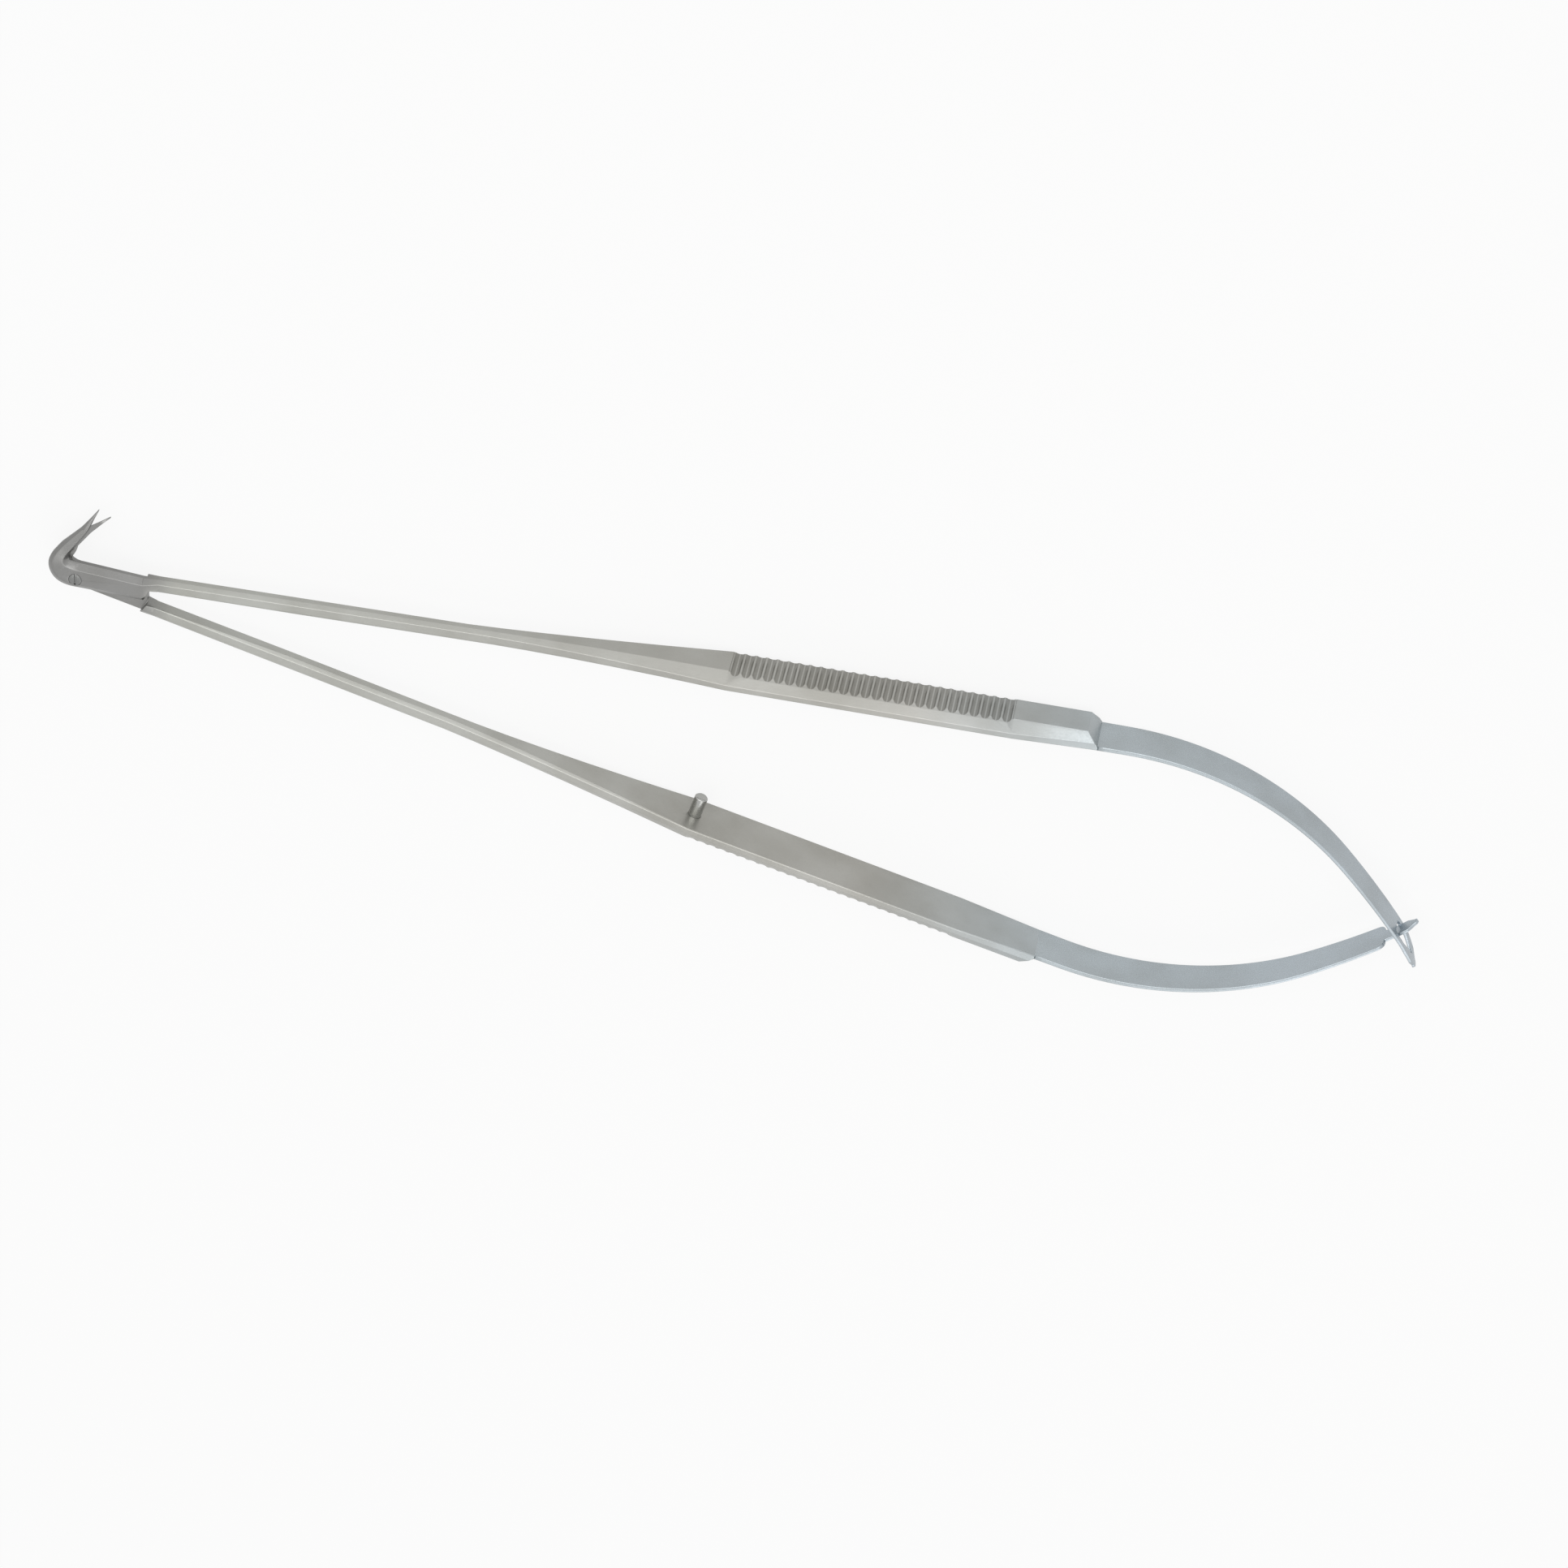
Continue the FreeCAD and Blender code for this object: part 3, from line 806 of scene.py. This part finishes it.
@dataclass
class Studio:
    """Pale floor, surroundings and soft lamps.

    Attributes:
        floor_size: Side of the floor, in metres.
        floor_colour: Colour of the floor.
        floor_glow: Share of plain white that the floor shows to the camera.
        mirrored_glow: The same in what metal mirrors.
        world_strength: Strength of the light that comes from all round.
        mirrored_world: How far the surroundings are white in what metal mirrors.
        lamps: A lamp above the scissors, a little towards the camera, and a weak one behind.
    """

    floor_size: float = 6.0
    floor_colour: str = "#efefee"
    floor_glow: float = 0.87
    mirrored_glow: float = 0.5
    world_strength: float = 0.5
    mirrored_world: float = 0.8
    lamps: tuple[SoftLamp, ...] = (
        SoftLamp("key", (0.1, -0.25, 0.8), size=0.9, power=3.2),
        SoftLamp("fill", (-0.5, 0.6, 0.6), size=0.7, power=1.4),
    )

    def _scaled(
        self, tree: bpy.types.NodeTree, share: bpy.types.NodeSocket, factor: float
    ) -> bpy.types.NodeSocket:
        """Multiply a share by a number.

        Args:
            tree: The node tree that takes the node.
            share: Output that holds the share.
            factor: The number.

        Returns:
            The output that holds the product.
        """
        product = add_node(tree, "ShaderNodeMath", {"0": share}, operation="MULTIPLY")
        product.inputs[1].default_value = factor
        return product.outputs["Value"]

    def _white_seen(
        self, tree: bpy.types.NodeTree, straight: float, mirrored: float
    ) -> bpy.types.NodeSocket:
        """Share of white for the rays that show a background.

        Args:
            tree: The node tree that takes the nodes.
            straight: Share for what the camera sees.
            mirrored: Share for what is mirrored or let through.

        Returns:
            The output that holds the share.
        """
        path = add_node(tree, "ShaderNodeLightPath")
        indirect = add_node(
            tree,
            "ShaderNodeMath",
            {"0": path.outputs["Is Glossy Ray"], "1": path.outputs["Is Transmission Ray"]},
            operation="MAXIMUM",
        )
        share = add_node(
            tree,
            "ShaderNodeMath",
            {
                "0": self._scaled(tree, path.outputs["Is Camera Ray"], straight),
                "1": self._scaled(tree, indirect.outputs["Value"], mirrored),
            },
            operation="MAXIMUM",
        )
        return share.outputs["Value"]

    def floor(self) -> None:
        """Lay the floor, which keeps a soft shadow."""
        mesh = bmesh.new()
        bmesh.ops.create_grid(mesh, x_segments=1, y_segments=1, size=self.floor_size / 2)
        data = bpy.data.meshes.new("floor")
        mesh.to_mesh(data)
        mesh.free()
        # Pale sheet: matt, nearly white to the camera, with only the shadow drawn on it.
        material = bpy.data.materials.new("pale floor")
        material.use_nodes = True
        tree = material.node_tree
        tree.nodes.clear()
        matt = add_node(tree, "ShaderNodeBsdfDiffuse", Color=linear(self.floor_colour))
        white = add_node(tree, "ShaderNodeEmission", Color=WHITE, Strength=1.0)
        share = self._white_seen(tree, self.floor_glow, self.mirrored_glow)
        mixed = add_node(
            tree,
            "ShaderNodeMixShader",
            {"0": share, "1": matt.outputs["BSDF"], "2": white.outputs["Emission"]},
        )
        add_node(tree, "ShaderNodeOutputMaterial", {"Surface": mixed.outputs["Shader"]})
        data.materials.append(material)
        floor = bpy.data.objects.new("floor", data)
        bpy.context.scene.collection.objects.link(floor)

    def world(self) -> None:
        """Light from all round, seen as plain white."""
        world = bpy.data.worlds.new("studio")
        world.use_nodes = True
        tree = world.node_tree
        tree.nodes.clear()
        strength = add_node(
            tree,
            "ShaderNodeMapRange",
            {"Value": self._white_seen(tree, 1.0, self.mirrored_world)},
            To_Min=self.world_strength,
            To_Max=1.0,
        )
        light = add_node(
            tree, "ShaderNodeBackground", {"Strength": strength.outputs["Result"]}, Color=WHITE
        )
        add_node(tree, "ShaderNodeOutputWorld", {"Surface": light.outputs["Background"]})
        bpy.context.scene.world = world

    def build(self) -> None:
        """Set up floor, world and lamps."""
        self.floor()
        self.world()
        for lamp in self.lamps:
            lamp.hang(aim=Vector((0.0, 0.0, 0.0)))
        bpy.context.scene.view_settings.view_transform = "Standard"


@dataclass
class StudioCamera:
    """Long lens that looks down on the scissors, turned as in the photograph.

    Attributes:
        elevation_deg: Angle of view above the floor.
        tilt_deg: Slope of the scissors' middle line in the picture, down to the right.
        distance: From the scissors, in metres.
        picture_px: Side of the square picture.
        px_per_mm: Scale of the picture at the scissors.
        pivot_px: Where the pivot stands in the picture, from its top left corner.
        sensor_mm: Width of the camera's sensor.
        clip: Nearest and farthest distance that it sees, in metres.
    """

    elevation_deg: float = 56.1
    tilt_deg: float = 15.08
    distance: float = 0.9
    picture_px: float = 1932.0
    px_per_mm: float = 8.75
    pivot_px: tuple[float, float] = (95.42, 708.0)
    sensor_mm: float = 36.0
    clip: tuple[float, float] = (0.01, 20.0)

    def build(self) -> None:
        """Place the camera so that the pivot stands where it should."""
        elevation = math.radians(self.elevation_deg)
        tilt = math.radians(self.tilt_deg)
        back = Vector((0.0, -math.cos(elevation), math.sin(elevation)))
        along = Vector((-1.0, 0.0, 0.0))
        away = back.cross(along)
        right = along * math.cos(tilt) + away * math.sin(tilt)
        up = away * math.cos(tilt) - along * math.sin(tilt)
        middle_px = self.picture_px / 2
        metres = MM / self.px_per_mm
        target = Vector(frame["joints"][0]["pos_m"])
        target = target + right * (middle_px - self.pivot_px[0]) * metres
        target = target - up * (middle_px - self.pivot_px[1]) * metres
        data = bpy.data.cameras.new("camera")
        data.sensor_width = self.sensor_mm
        data.lens = self.sensor_mm * self.distance / (self.picture_px * metres)
        data.clip_start, data.clip_end = self.clip
        camera = bpy.data.objects.new("camera", data)
        turn = Matrix((right, up, back)).transposed().to_4x4()
        camera.matrix_world = Matrix.Translation(target + back * self.distance) @ turn
        bpy.context.scene.collection.objects.link(camera)
        bpy.context.scene.camera = camera


def main() -> None:
    """Build the scissors, the studio and the camera."""
    logging.basicConfig(level=logging.INFO)
    Scissors().build()
    Studio().build()
    StudioCamera().build()


if __name__ == "__main__":
    main()
